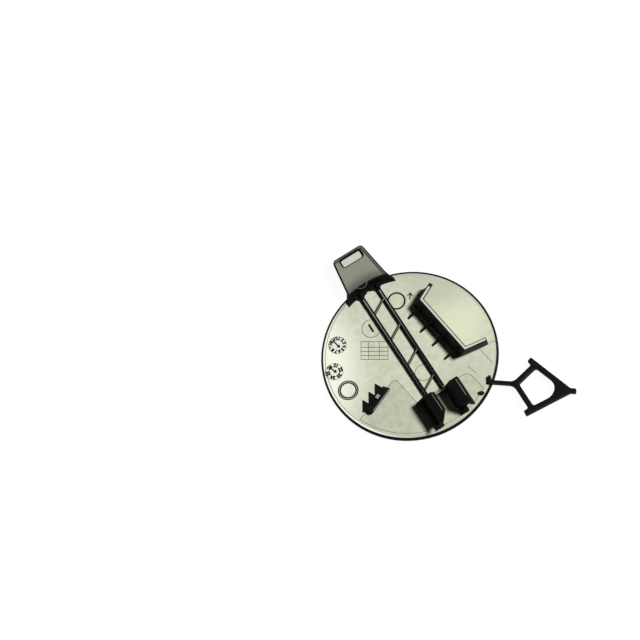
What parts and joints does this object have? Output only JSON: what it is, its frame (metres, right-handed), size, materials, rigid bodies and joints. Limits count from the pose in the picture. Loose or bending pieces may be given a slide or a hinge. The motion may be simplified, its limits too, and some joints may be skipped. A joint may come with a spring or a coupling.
{
  "type": "bumper tow hook cover",
  "caption": "Round snap-in cover for a tow eye opening in a bumper, with a locating tab, snap legs, stop walls and a moulded retaining leash.",
  "frame": {"origin": "middle of the flat of the front face, which is the face that shows on the vehicle", "axes": "+Z from the front face out of the back, +Y up on the vehicle, +X to the right seen from behind, the side of the leash"},
  "size_m": [0.1208, 0.0848, 0.0185],
  "materials": {
    "moulded_plastic": "black moulding: leather-grained matte front, polished back"
  },
  "bodies": {
    "root": {"cover": "moulded_plastic"}
  },
  "joints": []
}
